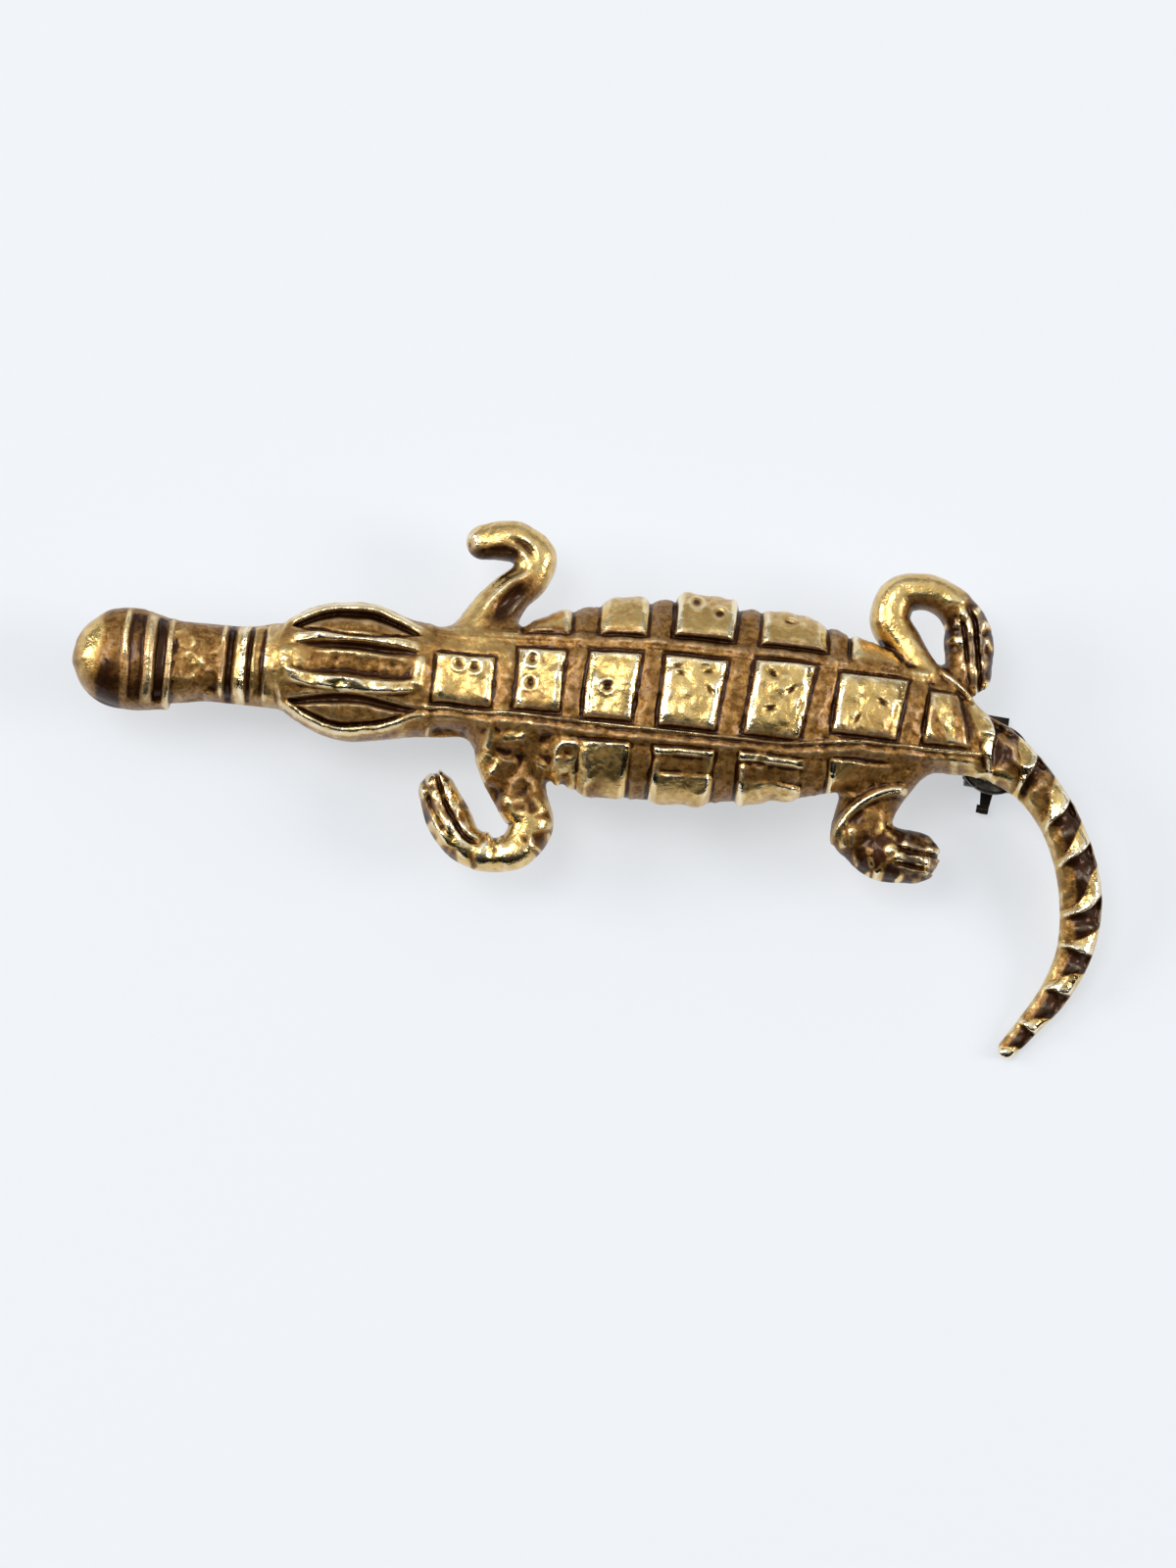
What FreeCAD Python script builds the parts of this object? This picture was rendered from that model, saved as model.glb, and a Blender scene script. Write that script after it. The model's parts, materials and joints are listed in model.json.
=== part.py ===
"""Alligator brooch: a cast brass figure with a pin stem and a turning safety catch soldered to its back.

Frame: +X runs along the spine from snout to tail, +Z comes out of the decorated face, +Y is the
figure's right. z = 0 is the surface that the brooch lies on: the catch, the hinge and the tip of the
drooping tail touch it. Millimetres and degrees throughout.
"""

import FreeCAD, Part
import math
import os
from FreeCAD import Vector

os.makedirs("parts", exist_ok=True)

# ---- driving dimensions ----------------------------------------------------------------------------
back_z = 4.35             # flat back of the casting, above the resting surface
spine_y = 5.3             # line of the back plates
fullness = 2.3            # exponent of the domed cross-sections, 2 is an ellipse
plate_height = 0.35       # how far the scale plates stand out of the skin
ring_height = 0.3         # rings of the snout
rail_height = 0.18        # rails beside the back plates
socket_depth = 0.5        # eye sockets below the skull
eye_rim_height = 0.35
pupil_height = 0.1
clear_top = 12.0          # above every part of the figure
hollow_depth = 1.3        # shallow hollow in the back of the belly
hollow_front = (2.0, 5.1, 3.2)     # x, y and radius of its two round ends
hollow_rear = (13.0, 5.3, 2.8)
thread_height = 0.3       # diagonal ridges of the tail

seat_margin = 0.35        # flat seats in the back, around each base disc
seat_depth = 1.5
solder_thickness = 0.15
disc_thickness = 0.5
axis_z = 1.5              # pin, hinge rivet and catch barrel share this height
pin_yaw = -4.2            # the pin line, seen from above, against +X
hinge_x, hinge_y = -6.0, 5.9
pin_line = 32.7           # hinge axis to the middle of the catch

hinge_disc_r = 2.2
ear_r = 1.45
ear_thickness = 0.5
ear_gap = 1.2             # between the two ears
bracket_floor = 0.5       # web of the bracket, against the disc
rivet_r = 0.45
rivet_head_r = 0.8
rivet_head_height = 0.3

eye_r = 1.2               # flattened eye of the pin stem
eye_thickness = 1.1
eye_bore_r = 0.5
heel_reach = 1.8          # corner of the heel, which stops on the bracket's web when the pin is open
heel_angle = 209.0
heel_flank = 1.176        # where the heel's sides leave the eye, and their angles about the hinge axis
heel_front_angle = 150.0
heel_rear_angle = 240.0
heel_root = (0.6, 110.0)  # reach and angle of its corner inside the eye
shank_half = 0.5          # square root of the stem, between the ears
shank_start = 0.7
shank_end = 2.0
wire_overlap = 0.4        # the round wire starts this far inside the square root
wire_r = 0.45
wire_end = 29.0           # the plain round wire ends here and tapers towards the tip
point_start = 33.4
point_end = 35.3
taper_r = 0.38
tip_r = 0.05

catch_disc_r = 2.35
barrel_outer_r = 1.75
barrel_inner_r = 1.35
barrel_length = 3.2
window_length = 1.6
window_inner_r = 0.2
window_outer_r = 2.75
mouth_half_angle = 32.0   # opening of the barrel, facing away from the back
bridge_half_angle = 38.0  # roof over the window
saddle_half_width = 0.75
saddle_overlap = 0.1      # the saddle starts this far outside the bore

rotor_r = 1.3
rotor_length = 3.5
slot_r = 0.55             # half the width of the slot, and its round end about the pin line
wing_droop = 15.0         # both wings hang this far below level with the catch open
wing_reach = 3.4
wing_thickness = 0.4
tab_width = 1.5
lever_root_width = 1.1
lever_tip_width = 0.5
lever_roll_r = 0.28
lever_roll_length = 0.8

# ---- stations of the figure: x, y, heading, half width, underside z, top z ----------------------------
nose = [
    (-35.0, 4.72, 0, 0.7, back_z, 6.1),
    (-34.2, 4.72, 0, 2.0, back_z, 7.3),
    (-33.0, 4.72, 0, 2.85, back_z, 8.1),
    (-31.2, 4.70, 0, 3.3, back_z, 8.6),
]
snout = [
    (-31.6, 4.75, 0, 2.85, back_z, 8.1),
    (-29.0, 4.75, 0, 2.8, back_z, 8.1),
    (-26.5, 4.93, 0, 2.55, back_z, 7.9),
    (-24.0, 4.93, 0, 2.5, back_z, 7.9),
    (-21.5, 5.00, 0, 2.7, back_z, 8.1),
]
skull = [
    (-22.3, 5.30, 0, 2.2, back_z, 8.3),
    (-20.0, 5.34, 0, 3.6, back_z, 8.8),
    (-16.5, 5.11, 0, 4.6, back_z, 9.1),
    (-13.5, 5.02, 0, 4.2, back_z, 8.9),
    (-10.8, 5.05, 0, 3.5, back_z, 8.5),
]
body = [
    (-11.6, 5.00, 0, 3.5, back_z, 8.4),
    (-7.5, 4.95, 0, 3.9, back_z, 8.7),
    (-4.5, 4.90, 0, 4.9, back_z, 9.2),
    (-1.0, 4.95, 0, 6.0, back_z, 9.9),
    (4.0, 5.15, 0, 6.6, back_z, 10.5),
    (9.0, 5.28, 0, 6.45, back_z, 10.4),
    (14.0, 5.35, 0, 5.65, back_z, 9.9),
    (18.0, 5.30, 0, 4.6, back_z, 9.1),
    (22.0, 4.90, -3, 3.3, back_z, 8.2),
    (24.6, 4.45, -8, 2.3, back_z, 7.6),
]
tail = [
    (23.0, 4.65, -6, 2.4, back_z, 7.6),
    (26.2, 3.75, -18, 1.85, back_z, 7.2),
    (29.15, 2.10, -37, 1.35, 4.15, 6.6),
    (31.5, -0.25, -52, 1.25, 3.5, 5.8),
    (32.9, -3.55, -74, 1.25, 2.6, 4.8),
    (33.35, -6.70, -90, 1.2, 1.8, 3.7),
    (33.05, -9.40, -106, 1.05, 1.1, 2.8),
    (31.95, -11.85, -121, 0.82, 0.5, 1.9),
    (30.40, -14.20, -127, 0.58, 0.12, 1.2),
    (29.10, -15.75, -129, 0.38, 0.0, 0.8),
]
right_foreleg = [
    (-7.5, 8.60, 62, 2.0, back_z, 7.6),
    (-6.7, 11.0, 60, 1.5, back_z, 6.9),
    (-5.45, 12.4, 74, 1.25, back_z, 6.7),
    (-5.35, 14.00, 125, 1.4, back_z, 6.9),
    (-6.6, 14.80, 172, 1.2, back_z, 6.9),
    (-8.3, 14.75, 184, 1.2, back_z, 6.7),
    (-9.6, 14.50, 192, 0.6, back_z, 5.9),
]
left_foreleg = [
    (-5.4, 0.60, -62, 2.4, back_z, 7.6),
    (-4.45, -2.1, -68, 1.75, back_z, 7.0),
    (-3.6, -3.95, -105, 1.35, back_z, 6.8),
    (-4.6, -5.55, -152, 1.25, back_z, 6.8),
    (-6.6, -5.90, 170, 1.2, back_z, 6.8),
    (-8.3, -4.95, 135, 1.4, back_z, 6.9),
    (-9.4, -3.40, 118, 1.5, back_z, 6.8),
    (-10.3, -1.60, 114, 1.0, back_z, 6.3),
    (-10.6, -0.90, 114, 0.5, back_z, 5.7),
]
left_thigh = [
    (19.4, 2.40, -108, 2.2, back_z, 7.4),
    (18.3, -0.60, -104, 1.85, back_z, 7.0),
    (17.75, -2.90, -98, 1.4, back_z, 6.6),
]
left_hind_foot = [
    (16.7, -2.50, -28, 1.0, back_z, 6.2),
    (18.4, -3.15, -20, 1.75, back_z, 6.8),
    (20.5, -3.62, -6, 1.9, back_z, 6.9),
    (22.3, -3.55, 5, 1.65, back_z, 6.7),
    (23.5, -3.40, 8, 0.8, back_z, 6.0),
]
right_hind_leg = [
    (22.0, 8.00, 134, 1.5, back_z, 7.4),
    (20.1, 10.40, 126, 1.3, back_z, 7.2),
    (19.2, 12.10, 92, 1.3, back_z, 7.1),
    (20.0, 13.55, 38, 1.2, back_z, 7.0),
    (21.7, 13.85, -8, 1.1, back_z, 7.0),
    (23.3, 13.10, -38, 1.25, back_z, 7.0),
    (24.2, 11.60, -68, 1.6, back_z, 6.9),
    (24.5, 9.90, -80, 1.6, back_z, 6.7),
    (24.9, 8.20, -76, 0.9, back_z, 6.2),
]
foot_web = [
    (22.8, 6.60, 66, 1.6, back_z, 6.9),
    (23.9, 9.20, 66, 1.3, back_z, 6.3),
]

# scale plates of the back: x start, x end, half width, all sharing the spine line
back_plates = [
    (-11.0, -7.2, 1.6),
    (-5.6, -2.4, 2.0),
    (-0.8, 2.8, 2.3),
    (4.4, 8.2, 2.4),
    (10.0, 14.0, 2.4),
    (15.8, 20.3, 2.1),
    (21.9, 24.3, 1.6),
]
rail_offset = 3.05        # the thin rails lie between the back plates and the flank plates
rail_width = 0.6
rail_start, rail_end = -9.6, 20.5
back_plate_root = 2.0     # plates and rails start this far above the back
flank_plate_root = 1.0
flank_inner = 3.65        # flank plates start this far from the spine line
flank_outer = 7.2
flank_plates_right = [(-5.2, -2.0), (-0.3, 2.9), (4.5, 8.7), (10.2, 14.6), (16.2, 19.0)]
flank_plates_left = [(-0.8, 2.6), (4.2, 8.4), (9.8, 14.2), (15.6, 19.6)]

snout_rings = [(-30.4, -29.7), (-28.9, -28.4), (-24.3, -23.6)]
leaf_centre_x = -16.6
leaf_offset = 2.75        # each eye leaf from the middle of the skull
leaf_half_length = 4.6
leaf_half_width = 1.55
leaf_wall = 0.4
pupil_half_length = 3.3
pupil_half_width = 0.65

thread_stations = [
    (26.6, 3.60, -20),
    (28.9, 2.30, -36),
    (30.8, 0.50, -49),
    (32.1, -1.90, -63),
    (33.0, -4.50, -77),
    (33.3, -7.20, -92),
    (32.75, -10.2, -110),
    (31.2, -13.0, -124),
    (29.8, -15.0, -128),
]
toe_ends = [(22.9, -3.5, 6), (24.8, 9.2, -78), (-9.9, -2.4, 114), (-9.0, 14.6, 188)]   # x, y, heading
toe_groove_length = 2.6
toe_groove_width = 0.3
toe_groove_low = 1.6      # floor of the groove above the back
toe_groove_height = 2.0
toe_half_width = 0.5

thread_width = 1.3
thread_slant = 32.0       # the ridges against the tail's own cross-section

UP = Vector(0, 0, 1)
along = Vector(math.cos(math.radians(pin_yaw)), math.sin(math.radians(pin_yaw)), 0)
across = Vector(-along.y, along.x, 0)
hinge_point = Vector(hinge_x, hinge_y, axis_z)
catch_point = hinge_point + along * pin_line
disc_top = back_z - solder_thickness
disc_low = disc_top - disc_thickness


# ---- helpers ---------------------------------------------------------------------------------------
def domed_section(x, y, heading, half_width, low, high):
    """A flat-backed domed outline, upright and square to the heading."""
    turn = math.radians(heading)
    side = Vector(-math.sin(turn), math.cos(turn), 0)
    points = []
    steps = 10
    for i in range(steps + 1):
        angle = math.pi * i / steps
        c, s = math.cos(angle), math.sin(angle)
        out = math.copysign(abs(c) ** (2 / fullness), c) * half_width
        rise = abs(s) ** (2 / fullness) * (high - low)
        points.append(Vector(x, y, low) + side * out + UP * rise)
    dome = Part.BSplineCurve()
    dome.interpolate(points)
    return Part.Wire([dome.toShape(), Part.makeLine(points[-1], points[0])])


def domed(stations, grow=0.0, lift=0.0):
    """A solid through the stations. grow makes it wider and taller, lift raises its underside."""
    wires = [
        domed_section(x, y, heading, half + grow, low + lift, high + grow)
        for x, y, heading, half, low, high in stations
    ]
    return Part.makeLoft(wires, True)


def prism(points, low, high):
    """An upright prism on a flat outline."""
    ring = [Vector(x, y, low) for x, y in points]
    return Part.Face(Part.makePolygon(ring + ring[:1])).extrude(UP * (high - low))


def block(x0, x1, y0, y1, low, high):
    return Part.makeBox(x1 - x0, y1 - y0, high - low, Vector(x0, y0, low))


def round_plate(radius, low, thickness, centre):
    return Part.makeCylinder(radius, thickness, Vector(centre.x, centre.y, low))


def leaf(x, y, half_length, half_width, low, high):
    """An upright leaf-shaped prism: what two equal cylinders share."""
    radius = (half_length**2 + half_width**2) / (2 * half_width)
    offset = radius - half_width
    one = Part.makeCylinder(radius, high - low, Vector(x, y + offset, low))
    other = Part.makeCylinder(radius, high - low, Vector(x, y - offset, low))
    return one.common(other)


def joined(*shapes):
    return shapes[0].fuse(list(shapes[1:]))


def merged(*shapes):
    return joined(*shapes).removeSplitter()


def placed(shape, point, yaw):
    """Turns a shape made at the origin along +X to the yaw, and moves it to the point."""
    shape.Placement = FreeCAD.Placement(point, FreeCAD.Rotation(UP, yaw))
    return shape


def at_fitting(shape, point):
    return placed(shape, point, pin_yaw)


def arc_block(inner, outer, start, end, length):
    """A length of ring about +X, from the start angle to the end angle, counted from +Y towards +Z."""
    ring = Part.makeCylinder(outer, length, Vector(-length / 2, 0, 0), Vector(1, 0, 0))
    ring = ring.cut(Part.makeCylinder(inner, length, Vector(-length / 2, 0, 0), Vector(1, 0, 0)))
    reach = outer * 3
    steps = max(2, math.ceil((end - start) / 60))
    fan = [Vector(-length, 0, 0)]
    for i in range(steps + 1):
        angle = math.radians(start + (end - start) * i / steps)
        fan.append(Vector(-length, reach * math.cos(angle), reach * math.sin(angle)))
    wedge = Part.Face(Part.makePolygon(fan + fan[:1])).extrude(Vector(2 * length, 0, 0))
    return ring.common(wedge)


# ---- the cast figure -------------------------------------------------------------------------------
def scaled_body():
    """The belly with its raised back plates, rails and flank plates."""
    outlines = []
    for x0, x1, half in back_plates:
        outlines.append(block(x0, x1, spine_y - half, spine_y + half, back_z + back_plate_root, clear_top))
    for side, plates in ((1, flank_plates_right), (-1, flank_plates_left)):
        for x0, x1 in plates:
            near = spine_y + side * flank_inner
            far = spine_y + side * flank_outer
            low_y, high_y = min(near, far), max(near, far)
            outlines.append(block(x0, x1, low_y, high_y, back_z + flank_plate_root, clear_top))
    plates = domed(body, plate_height).common(Part.makeCompound(outlines))
    rails = []
    for side in (1, -1):
        middle = spine_y + side * rail_offset
        near, far = middle - rail_width / 2, middle + rail_width / 2
        rails.append(block(rail_start, rail_end, near, far, back_z + back_plate_root, clear_top))
    rails = domed(body, rail_height).common(Part.makeCompound(rails))
    return joined(domed(body), *plates.Solids, *rails.Solids)


def head():
    """Skull with two leaf-shaped eyes, ringed snout and round nose."""
    pieces = [domed(skull)]
    raised = domed(skull, eye_rim_height)
    sunk = domed(skull, -socket_depth)
    centre_y = skull[2][1]
    low, high = back_z + flank_plate_root, clear_top
    for side in (1, -1):
        y = centre_y + side * leaf_offset
        outer = leaf(leaf_centre_x, y, leaf_half_length, leaf_half_width, low, high)
        inner = leaf(
            leaf_centre_x, y, leaf_half_length - 2 * leaf_wall, leaf_half_width - leaf_wall, low, high
        )
        pupil = leaf(leaf_centre_x, y, pupil_half_length, pupil_half_width, low, high)
        pieces[0] = pieces[0].cut(inner.cut(sunk))
        pieces.append(raised.common(outer.cut(inner)))
        pieces.append(domed(skull, pupil_height).common(pupil))
    rings = [block(x0, x1, 0, 2 * spine_y, back_z, clear_top) for x0, x1 in snout_rings]
    pieces.extend(domed(snout, ring_height).common(Part.makeCompound(rings)).Solids)
    return joined(*pieces, domed(snout), domed(nose))


def threaded_tail():
    """The drooping tail with slanted ridges like the lay of a rope."""
    raised = domed(tail, thread_height, thread_height)
    threads = []
    for x, y, heading in thread_stations:
        bar = Part.makeBox(thread_width, 8, 9, Vector(-thread_width / 2, -4, 0))
        threads.append(raised.common(placed(bar, Vector(x, y, 0), heading + thread_slant)))
    return joined(domed(tail), *threads)


def toe_grooves(foot):
    """Short grooves that part the toes of a foot, given as x, y and heading at its end."""
    x, y, heading = foot
    turn = math.radians(heading)
    side = Vector(-math.sin(turn), math.cos(turn), 0)
    cuts = []
    for offset in (-toe_half_width, toe_half_width):
        corner = Vector(-toe_groove_length / 2, -toe_groove_width / 2, 0)
        groove = Part.makeBox(toe_groove_length, toe_groove_width, toe_groove_height, corner)
        cuts.append(placed(groove, Vector(x, y, back_z + toe_groove_low) + side * offset, heading))
    return cuts


def alligator_casting():
    legs = [right_foreleg, left_foreleg, left_thigh, left_hind_foot, right_hind_leg, foot_web]
    solid = joined(scaled_body(), head(), threaded_tail(), *[domed(leg) for leg in legs])
    for foot in toe_ends:
        solid = solid.cut(toe_grooves(foot))
    for centre, radius in ((hinge_point, hinge_disc_r), (catch_point, catch_disc_r)):
        solid = solid.cut(round_plate(radius + seat_margin, back_z - seat_depth, seat_depth, centre))
    ends = []
    for x, y, radius in (hollow_front, hollow_rear):
        ends.append(round_plate(radius, back_z, hollow_depth, Vector(x, y, 0)))
    front_x, front_y, front_r = hollow_front
    rear_x, rear_y, rear_r = hollow_rear
    outline = [(front_x, front_y - front_r), (rear_x, rear_y - rear_r)]
    outline += [(rear_x, rear_y + rear_r), (front_x, front_y + front_r)]
    return solid.cut(merged(*ends, prism(outline, back_z, back_z + hollow_depth)))


# ---- hinge -----------------------------------------------------------------------------------------
def hinge_bracket():
    """A bent U: a web against the disc and two round-ended ears that hold the rivet."""
    outer_half = ear_gap / 2 + ear_thickness
    web_low = disc_low - bracket_floor - axis_z
    web = block(-ear_r, ear_r, -outer_half, outer_half, web_low, disc_low - axis_z)
    pieces = [web]
    for side in (1, -1):
        y = ear_gap / 2 if side > 0 else -outer_half
        pieces.append(block(-ear_r, ear_r, y, y + ear_thickness, 0, disc_low - axis_z))
        pieces.append(Part.makeCylinder(ear_r, ear_thickness, Vector(0, y, 0), Vector(0, 1, 0)))
    bore = Part.makeCylinder(rivet_r, 4, Vector(0, -2, 0), Vector(0, 1, 0))
    return at_fitting(merged(*pieces).cut(bore), hinge_point)


def hinge_rivet():
    """A plain pin upset into a low head outside each ear."""
    half = ear_gap / 2 + ear_thickness
    shank = Part.makeCylinder(rivet_r, 2 * half, Vector(0, -half, 0), Vector(0, 1, 0))
    pieces = [shank]
    for side in (1, -1):
        foot = Vector(0, side * half, 0)
        pieces.append(Part.makeCone(rivet_head_r, rivet_r, rivet_head_height, foot, Vector(0, side, 0)))
    return at_fitting(merged(*pieces), hinge_point)


def pin_stem():
    """Flattened eye with a heel, square root, round wire and a tapered sharp point."""
    half = eye_thickness / 2
    eye = Part.makeCylinder(eye_r, eye_thickness, Vector(0, -half, 0), Vector(0, 1, 0))
    corners = [heel_root, (heel_flank, heel_front_angle)]
    corners += [(heel_reach, heel_angle), (heel_flank, heel_rear_angle)]
    heel = []
    for reach, angle in corners:
        turn = math.radians(angle)
        heel.append(Vector(reach * math.cos(turn), -half, reach * math.sin(turn)))
    heel = Part.Face(Part.makePolygon(heel + heel[:1])).extrude(Vector(0, eye_thickness, 0))
    root = block(shank_start, shank_end, -shank_half, shank_half, -shank_half, shank_half)
    axis = Vector(1, 0, 0)
    wire_start = shank_end - wire_overlap
    wire = Part.makeCylinder(wire_r, wire_end - wire_start, Vector(wire_start, 0, 0), axis)
    taper = Part.makeCone(wire_r, taper_r, point_start - wire_end, Vector(wire_end, 0, 0), axis)
    point = Part.makeCone(taper_r, tip_r, point_end - point_start, Vector(point_start, 0, 0), axis)
    stem = merged(eye, heel, root, wire, taper, point)
    stem = stem.cut(Part.makeCylinder(eye_bore_r, 4, Vector(0, -2, 0), Vector(0, 1, 0)))
    return at_fitting(stem, hinge_point)


# ---- safety catch ----------------------------------------------------------------------------------
def catch_housing():
    """Two split rings under one roof and a saddle, with a window between them for the wings."""
    start = -90 + mouth_half_angle
    end = 270 - mouth_half_angle
    rings = arc_block(barrel_inner_r, barrel_outer_r, start, end, barrel_length)
    window_start = 90 + bridge_half_angle
    window_end = 450 - bridge_half_angle
    window = arc_block(window_inner_r, window_outer_r, window_start, window_end, window_length)
    saddle = block(
        -barrel_length / 2,
        barrel_length / 2,
        -saddle_half_width,
        saddle_half_width,
        barrel_inner_r + saddle_overlap,
        disc_low - axis_z,
    )
    bore = Part.makeCylinder(barrel_inner_r, 6, Vector(-3, 0, 0), Vector(1, 0, 0))
    return at_fitting(merged(rings.cut(window), saddle).cut(bore), catch_point)


def wing(width_root, width_tip):
    """A flat blade along +Y from inside the rotor to its tip."""
    root = slot_r + 0.15
    outline = [
        Vector(-width_root / 2, root, -wing_thickness / 2),
        Vector(width_root / 2, root, -wing_thickness / 2),
        Vector(width_tip / 2, wing_reach, -wing_thickness / 2),
        Vector(-width_tip / 2, wing_reach, -wing_thickness / 2),
    ]
    return Part.Face(Part.makePolygon(outline + outline[:1])).extrude(UP * wing_thickness)


def catch_rotor():
    """A slotted barrel that turns about the pin line, with a square tab and a tapered lever."""
    axis = Vector(1, 0, 0)
    barrel = Part.makeCylinder(rotor_r, rotor_length, Vector(-rotor_length / 2, 0, 0), axis)
    tab = wing(tab_width, tab_width)
    tab.rotate(Vector(0, 0, 0), axis, -wing_droop)
    lever = wing(lever_root_width, lever_tip_width)
    roll_start = Vector(-lever_roll_length / 2 - 0.1, wing_reach - lever_roll_r, 0)
    lever = merged(lever, Part.makeCylinder(lever_roll_r, lever_roll_length, roll_start, axis))
    lever.rotate(Vector(0, 0, 0), axis, 180 + wing_droop)
    slot = Part.makeCylinder(slot_r, 6, Vector(-3, 0, 0), axis)
    slot = slot.fuse(block(-3, 3, -slot_r, slot_r, -4, 0))
    return at_fitting(merged(barrel, tab, lever).cut(slot), catch_point)


parts = {
    "alligator_casting": alligator_casting(),
    "hinge_solder": round_plate(hinge_disc_r + 0.2, disc_top, solder_thickness, hinge_point),
    "hinge_base": round_plate(hinge_disc_r, disc_low, disc_thickness, hinge_point),
    "hinge_bracket": hinge_bracket(),
    "hinge_rivet": hinge_rivet(),
    "pin_stem": pin_stem(),
    "catch_solder": round_plate(catch_disc_r - 0.15, disc_top, solder_thickness, catch_point),
    "catch_base": round_plate(catch_disc_r, disc_low, disc_thickness, catch_point),
    "catch_housing": catch_housing(),
    "catch_rotor": catch_rotor(),
}
for name, shape in parts.items():
    shape.exportStep(f"parts/{name}.step")
    box = shape.BoundBox
    print(
        f"{name}: valid {shape.isValid()}, solids {len(shape.Solids)}, faces {len(shape.Faces)},"
        f" volume {shape.Volume:.1f}, x {box.XMin:.2f}..{box.XMax:.2f},"
        f" y {box.YMin:.2f}..{box.YMax:.2f}, z {box.ZMin:.2f}..{box.ZMax:.2f}"
    )
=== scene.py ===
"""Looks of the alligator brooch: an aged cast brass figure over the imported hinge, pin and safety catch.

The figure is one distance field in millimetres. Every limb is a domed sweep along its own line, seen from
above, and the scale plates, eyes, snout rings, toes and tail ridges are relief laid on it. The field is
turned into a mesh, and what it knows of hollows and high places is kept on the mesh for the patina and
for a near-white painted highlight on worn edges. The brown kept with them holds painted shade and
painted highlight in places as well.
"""

import json
import math
import bpy
import numpy as np
import openvdb
from mathutils import Matrix, Vector


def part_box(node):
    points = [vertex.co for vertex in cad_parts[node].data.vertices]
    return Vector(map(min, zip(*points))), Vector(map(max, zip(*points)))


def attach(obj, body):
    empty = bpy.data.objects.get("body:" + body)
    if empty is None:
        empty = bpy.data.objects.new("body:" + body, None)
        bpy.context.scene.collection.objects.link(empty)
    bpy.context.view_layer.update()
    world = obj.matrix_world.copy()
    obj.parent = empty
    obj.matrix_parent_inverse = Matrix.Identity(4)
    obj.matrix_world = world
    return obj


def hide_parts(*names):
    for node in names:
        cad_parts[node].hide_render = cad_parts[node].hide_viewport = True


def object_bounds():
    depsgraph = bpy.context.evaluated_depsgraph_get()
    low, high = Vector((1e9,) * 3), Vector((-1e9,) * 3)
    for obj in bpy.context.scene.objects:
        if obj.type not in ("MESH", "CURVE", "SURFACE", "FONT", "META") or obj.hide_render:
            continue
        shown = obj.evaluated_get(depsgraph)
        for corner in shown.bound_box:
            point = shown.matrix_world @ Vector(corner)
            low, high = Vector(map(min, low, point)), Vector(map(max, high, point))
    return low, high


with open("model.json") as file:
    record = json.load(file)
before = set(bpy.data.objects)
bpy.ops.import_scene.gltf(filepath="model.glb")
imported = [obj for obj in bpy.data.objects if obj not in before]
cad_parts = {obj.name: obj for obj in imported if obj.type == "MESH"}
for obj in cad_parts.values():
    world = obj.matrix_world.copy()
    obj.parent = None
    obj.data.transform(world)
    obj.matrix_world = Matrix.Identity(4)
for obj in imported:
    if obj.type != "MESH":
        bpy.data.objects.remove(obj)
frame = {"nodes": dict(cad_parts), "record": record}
cad_low, cad_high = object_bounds()

MM = 0.001
VOXEL = 0.105
BAND = 1.5                       # the field is clipped this far from the surface
MARGIN = 1.2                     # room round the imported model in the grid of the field
FEATURE_DEPTH = 0.5              # only this much of the field tells edges from hollows
EDGE_BLUR = 0.2
SWELL_BLUR = 0.55
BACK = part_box("hinge_solder")[1].z / MM
BACK_ROUNDING = 0.35             # of the corner between the sides and the back
EDGE_ROUNDING = 0.05 * MM        # on the fittings
ROUNDED_ABOVE = math.radians(38)
CRISP_ABOVE = math.radians(40)
RNG = np.random.default_rng(41)

# ---- lines of the figure: x, y, half width, underside, top ---------------------------------------
NOSE = [
    (-31.4, 4.64, 3.32, BACK, 8.5),
    (-30.2, 4.60, 3.32, BACK, 8.7),
    (-28.5, 4.52, 3.02, BACK, 8.45),
]
SNOUT = [
    (-29.4, 4.72, 2.8, BACK, 8.0),
    (-28.0, 4.76, 2.75, BACK, 8.05),
    (-26.0, 4.92, 2.6, BACK, 8.0),
    (-24.0, 4.92, 2.6, BACK, 8.0),
    (-21.0, 5.05, 2.8, BACK, 8.2),
]
SKULL = [
    (-21.2, 5.20, 2.75, BACK, 8.75),
    (-19.4, 5.20, 3.80, BACK, 8.95),
    (-16.4, 5.10, 4.6, BACK, 9.0),
    (-13.6, 5.00, 4.15, BACK, 8.9),
    (-11.0, 5.00, 3.5, BACK, 8.5),
]
BODY = [
    (-10.9, 5.00, 3.45, BACK, 8.5),
    (-8.0, 5.00, 3.6, BACK, 8.6),
    (-4.5, 4.70, 4.85, BACK, 9.3),
    (-1.0, 4.72, 6.0, BACK, 10.0),
    (4.0, 4.95, 6.55, BACK, 10.5),
    (9.0, 5.15, 6.35, BACK, 10.4),
    (14.0, 5.25, 5.65, BACK, 9.9),
    (18.0, 5.30, 4.6, BACK, 9.1),
    (21.0, 5.05, 3.5, BACK, 8.4),
    (23.6, 4.60, 2.5, BACK, 7.8),
]
TAIL = [
    (23.6, 4.55, 2.3, BACK, 7.7),
    (26.4, 3.75, 1.95, BACK, 7.3),
    (29.0, 2.15, 1.5, 4.15, 6.7),
    (31.0, -0.05, 1.35, 3.55, 6.0),
    (32.4, -2.60, 1.40, 2.85, 5.2),
    (33.2, -5.80, 1.40, 2.05, 4.1),
    (33.05, -8.80, 1.20, 1.25, 3.1),
    (32.05, -11.40, 1.0, 0.6, 2.2),
    (30.35, -13.90, 0.75, 0.15, 1.45),
    (29.35, -15.25, 0.65, 0.0, 1.1),
]
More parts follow.
